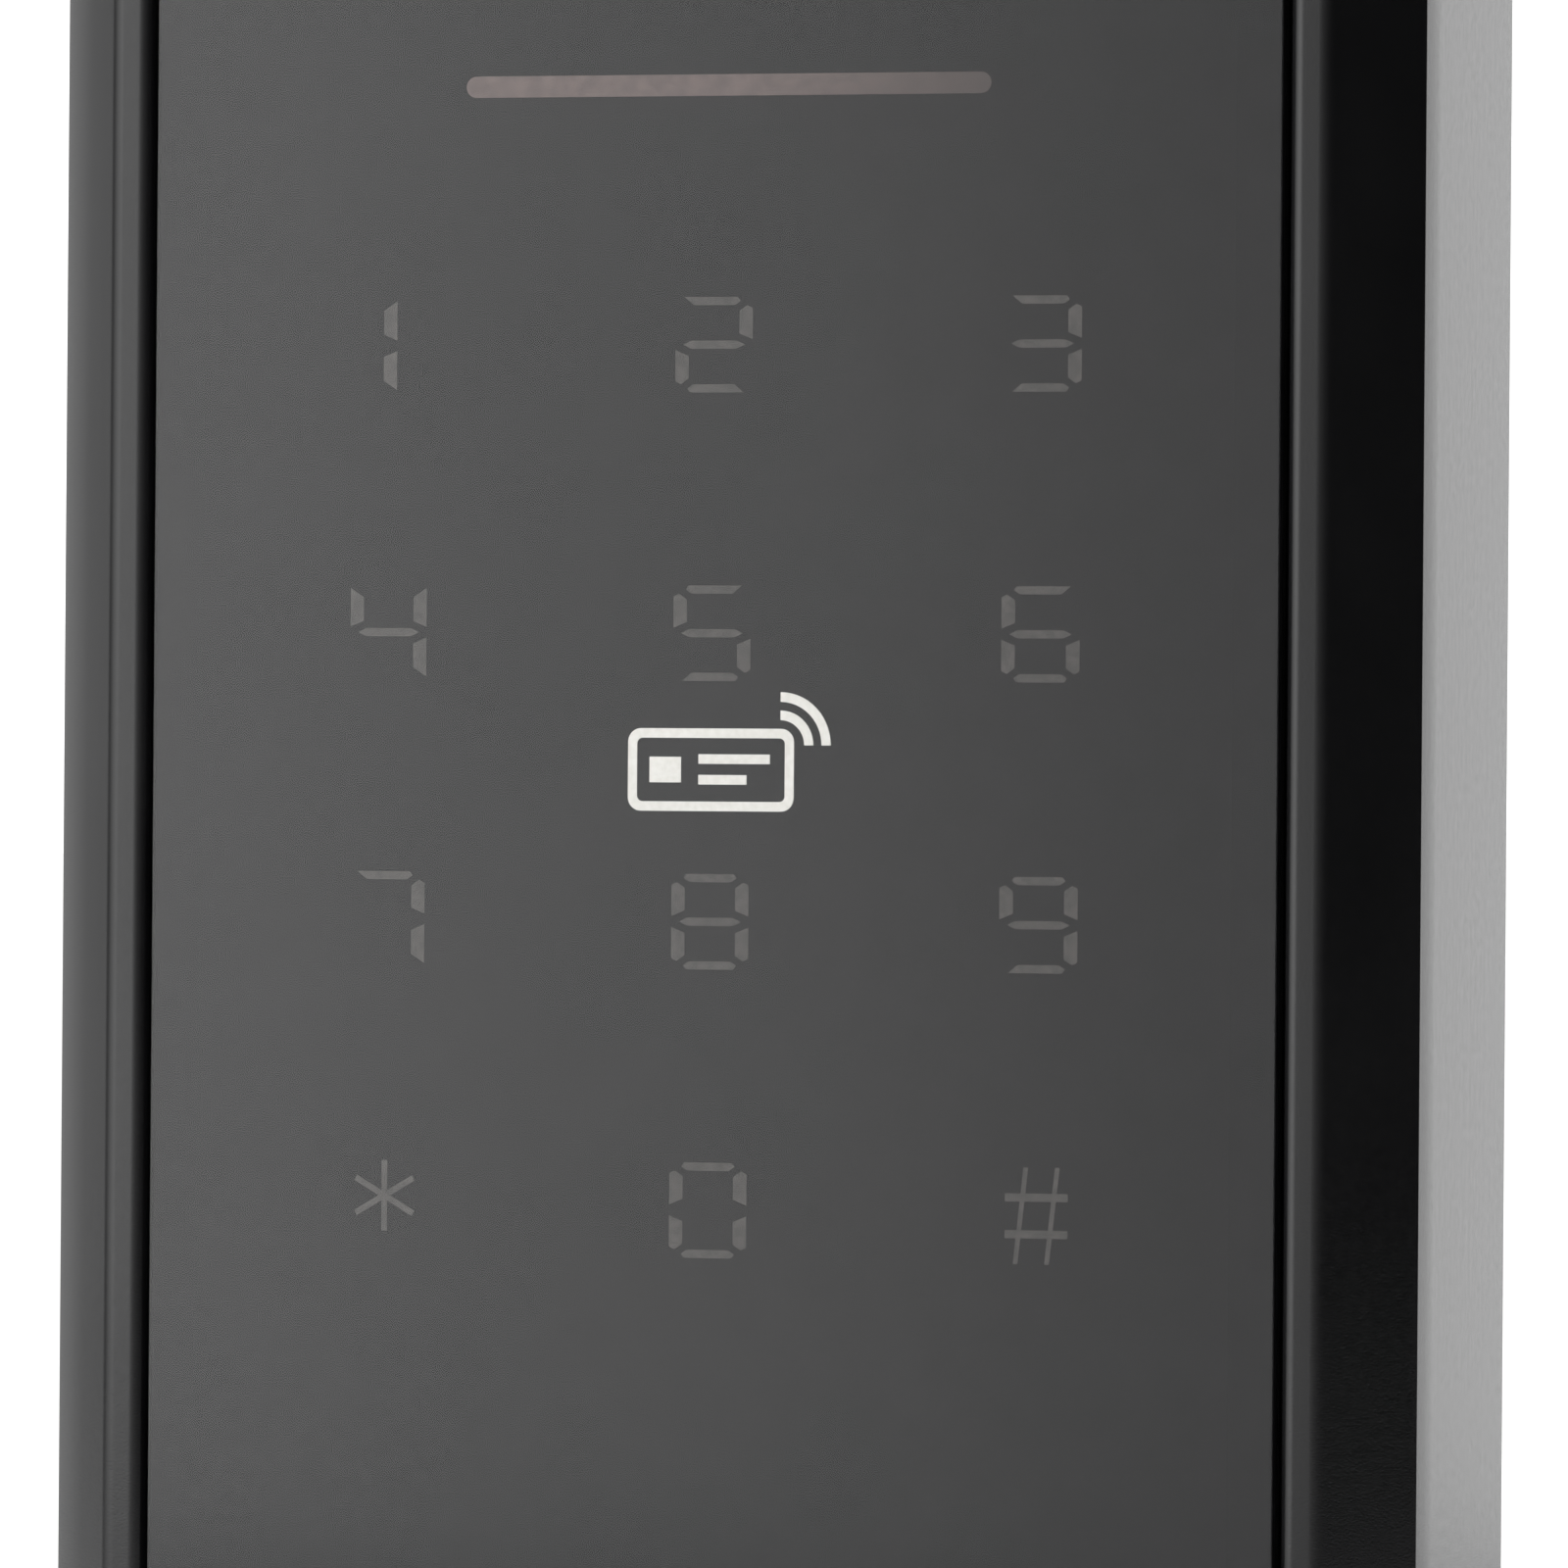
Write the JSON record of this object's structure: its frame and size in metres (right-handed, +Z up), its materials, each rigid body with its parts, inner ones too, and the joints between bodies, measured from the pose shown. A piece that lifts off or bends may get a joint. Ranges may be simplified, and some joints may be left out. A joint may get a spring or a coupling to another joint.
{
  "type": "rfid card reader",
  "caption": "Wall-mounted card reader: bevelled housing round a smoked touch keypad with a light bar and card mark, hung on a wall plate it tilts forward from, with terminals behind.",
  "frame": {"origin": "centre of the wall plate's back face, on the wall", "axes": "+Z up, +Y into the wall, the touch panel faces -Y, +X to the right of someone facing the reader"},
  "size_m": [0.075, 0.0214, 0.12],
  "materials": {
    "wall_plate": "moulded, fine texture",
    "wall_gasket": "closed-cell foam",
    "front_frame": "satin dark grey",
    "touch_panel": "smoked, polished face",
    "card_mark": "off-white ink",
    "panel_adhesive": "black foam tape",
    "legend_mask": "black printed film",
    "key_legends": "translucent ink, unlit",
    "light_bar_lens": "translucent ink, unlit",
    "diffuser_sheet": "milky film",
    "touch_board": "solder mask",
    "touch_electrodes": "bare copper",
    "key_light_box": "white moulding",
    "antenna_coil": "enamelled copper wire",
    "ferrite_sheet": "flexible ferrite",
    "main_board": "solder mask",
    "key_leds": "phosphor lens",
    "bar_leds": "clear lens",
    "controller_chip": "moulded epoxy",
    "reader_chip": "moulded epoxy",
    "crystal": "plated can",
    "door_relay": "cream case",
    "capacitors": "bare can",
    "power_coil": "ferrite body",
    "buzzer": "black case",
    "board_link": "black housing",
    "terminal_block": "green housing",
    "terminal_screws": "zinc plated",
    "tamper_switch": "black case",
    "tamper_spring": "spring wire",
    "reset_switch": "black case",
    "board_screws": "zinc plated",
    "rear_cover": "moulded, fine texture",
    "housing_seal": "silicone strip",
    "cover_screws": "zinc plated",
    "threaded_inserts": "knurled brass",
    "security_screw": "stainless",
    "captive_nut": "zinc plated",
    "tamper_plunger": "white acetal",
    "reset_button": "red button"
  },
  "bodies": {
    "wall_mount": {"wall_plate": "wall_plate", "wall_gasket": "wall_gasket"},
    "reader": {"front_frame": "front_frame", "touch_panel": "touch_panel", "card_mark": "card_mark", "panel_adhesive": "panel_adhesive", "legend_mask": "legend_mask", "key_legends": "key_legends", "light_bar_lens": "light_bar_lens", "diffuser_sheet": "diffuser_sheet", "touch_board": "touch_board", "touch_electrodes": "touch_electrodes", "key_light_box": "key_light_box", "antenna_coil": "antenna_coil", "ferrite_sheet": "ferrite_sheet", "main_board": "main_board", "key_leds": "key_leds", "bar_leds": "bar_leds", "controller_chip": "controller_chip", "reader_chip": "reader_chip", "crystal": "crystal", "door_relay": "door_relay", "capacitors": "capacitors", "power_coil": "power_coil", "buzzer": "buzzer", "board_link": "board_link", "terminal_block": "terminal_block", "terminal_screws": "terminal_screws", "tamper_switch": "tamper_switch", "tamper_spring": "tamper_spring", "reset_switch": "reset_switch", "board_screws": "board_screws", "rear_cover": "rear_cover", "housing_seal": "housing_seal", "cover_screws": "cover_screws", "threaded_inserts": "threaded_inserts", "security_screw": "security_screw", "captive_nut": "captive_nut"},
    "tamper_plunger": {"tamper_plunger": "tamper_plunger"},
    "reset_button": {"reset_button": "reset_button"}
  },
  "joints": [
    {"name": "reader_tilt", "type": "hinge", "parent": "wall_mount", "child": "reader", "pos_m": [0, -0.0028, 0.057], "axis": [-1, 0, 0], "range_deg": [0, 25]},
    {"name": "tamper_slide", "type": "slide", "parent": "reader", "child": "tamper_plunger", "axis": [0, 1, 0], "range_m": [0, 0.002], "stiffness_N_per_m": 120, "springref_m": 0.003},
    {"name": "reset_press", "type": "slide", "parent": "reader", "child": "reset_button", "axis": [0, -1, 0], "range_m": [0, 0.0003], "stiffness_N_per_m": 800, "springref_m": -0.0003}
  ]
}
